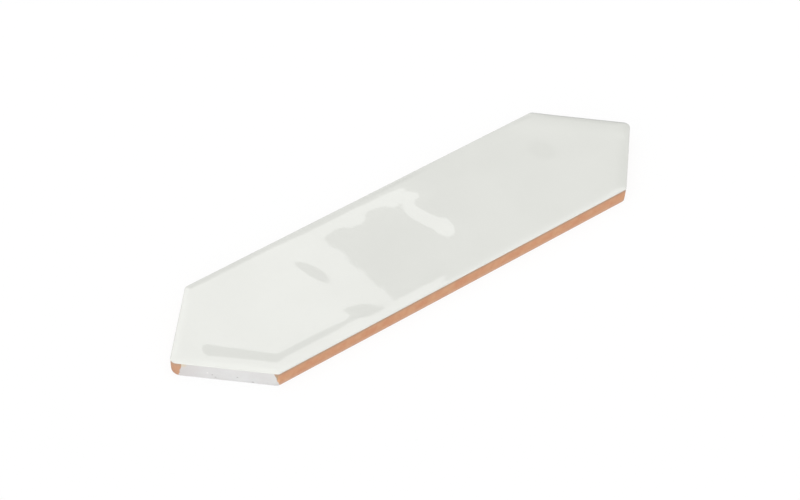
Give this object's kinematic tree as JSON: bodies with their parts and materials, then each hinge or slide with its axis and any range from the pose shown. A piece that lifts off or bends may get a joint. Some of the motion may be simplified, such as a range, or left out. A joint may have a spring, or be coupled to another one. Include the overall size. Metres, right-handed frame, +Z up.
{
  "type": "picket tile",
  "caption": "Glazed ceramic picket tile: a long hexagon with square points, cushioned face and a keyed clay back.",
  "frame": {"origin": "middle of the underside, on the plane that the tile rests on", "axes": "+X along the tile to one point, +Y across it, +Z up through the glazed face"},
  "size_m": [0.3, 0.075, 0.0095],
  "materials": {
    "clay_body": "bare fired terracotta, matt and finely grained",
    "white_glaze": "warm white gloss glaze with a gently waved surface"
  },
  "bodies": {
    "root": {"body": "clay_body", "glaze": "white_glaze"}
  },
  "joints": []
}
